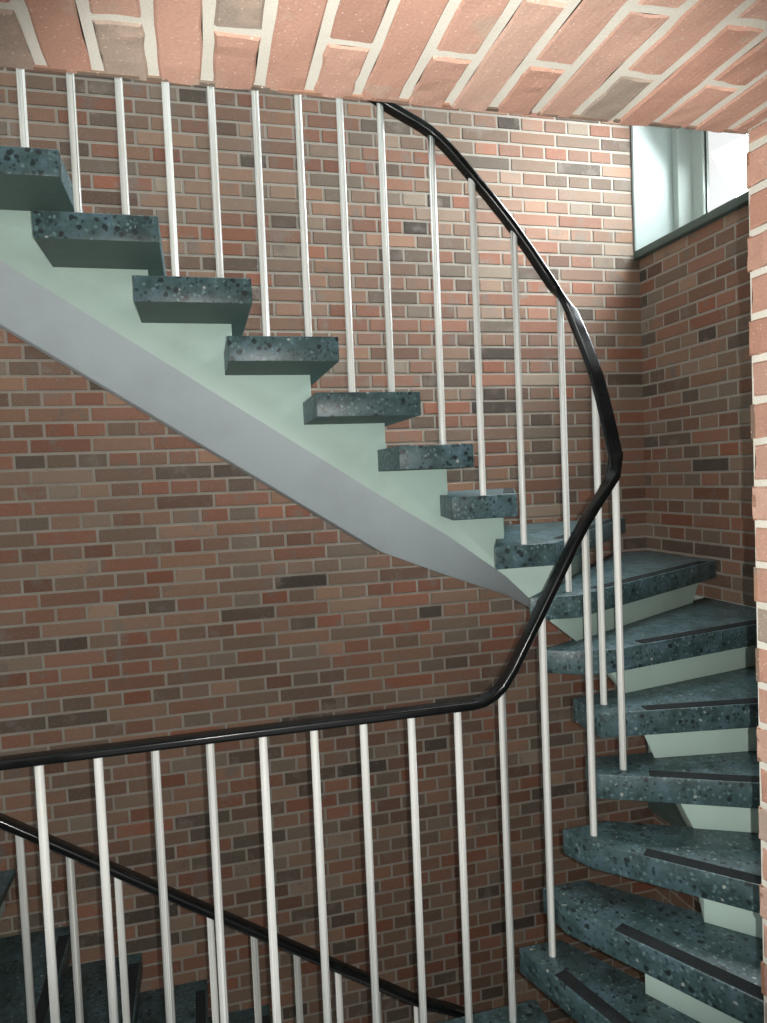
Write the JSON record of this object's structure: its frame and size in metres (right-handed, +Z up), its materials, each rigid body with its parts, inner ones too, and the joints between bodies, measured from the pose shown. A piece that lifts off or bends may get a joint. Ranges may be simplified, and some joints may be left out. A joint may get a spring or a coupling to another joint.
{
  "type": "brick stairwell",
  "caption": "Brick stairwell with two storeys of stair: winding and straight terrazzo treads on a concrete spine beam, thin round balusters and a continuous handrail.",
  "frame": {"origin": "middle of the footprint at ground level", "axes": "+X right along the back wall, +Y from the doorways to the back wall, +Z up"},
  "size_m": [4.568, 3.116, 7.4],
  "materials": {
    "brickwork": "rough fired brick with pale mortar",
    "terrazzo": "polished",
    "painted_concrete": "smooth, painted",
    "painted_steel": "satin paint",
    "handrail": "glossy",
    "white_plaster": "smooth, painted",
    "window_frame": "satin paint",
    "glass": "clear",
    "sill_stone": "polished"
  },
  "bodies": {
    "root": {"back_wall": "brickwork", "first_doorway_lintel": "brickwork", "front_wall_left_pier": "brickwork", "front_wall_right_pier": "brickwork", "ground_doorway_lintel": "brickwork", "right_wall_base": "brickwork", "right_wall_head": "brickwork", "right_wall_pier": "brickwork", "right_wall_spandrel": "brickwork", "first_landing_topping": "terrazzo", "lower_straight_treads": "terrazzo", "lower_winder_treads": "terrazzo", "second_landing_topping": "terrazzo", "upper_straight_treads": "terrazzo", "upper_winder_treads": "terrazzo", "first_landing_slab": "painted_concrete", "lower_spine": "painted_concrete", "second_landing_slab": "painted_concrete", "upper_spine": "painted_concrete", "first_landing_guard_balusters": "painted_steel", "first_landing_return_balusters": "painted_steel", "lower_flight_balusters": "painted_steel", "lower_turn_balusters": "painted_steel", "second_landing_end_balusters": "painted_steel", "second_landing_guard_balusters": "painted_steel", "second_landing_return_balusters": "painted_steel", "upper_flight_balusters": "painted_steel", "upper_turn_balusters": "painted_steel", "first_landing_handrail": "handrail", "lower_handrail": "handrail", "second_landing_handrail": "handrail", "upper_handrail": "handrail", "lower_window_lining": "white_plaster", "upper_window_lining": "white_plaster", "lower_window_frame": "window_frame", "upper_window_frame": "window_frame", "lower_window_glass": "glass", "upper_window_glass": "glass", "lower_window_sill": "sill_stone", "upper_window_sill": "sill_stone"}
  },
  "joints": []
}
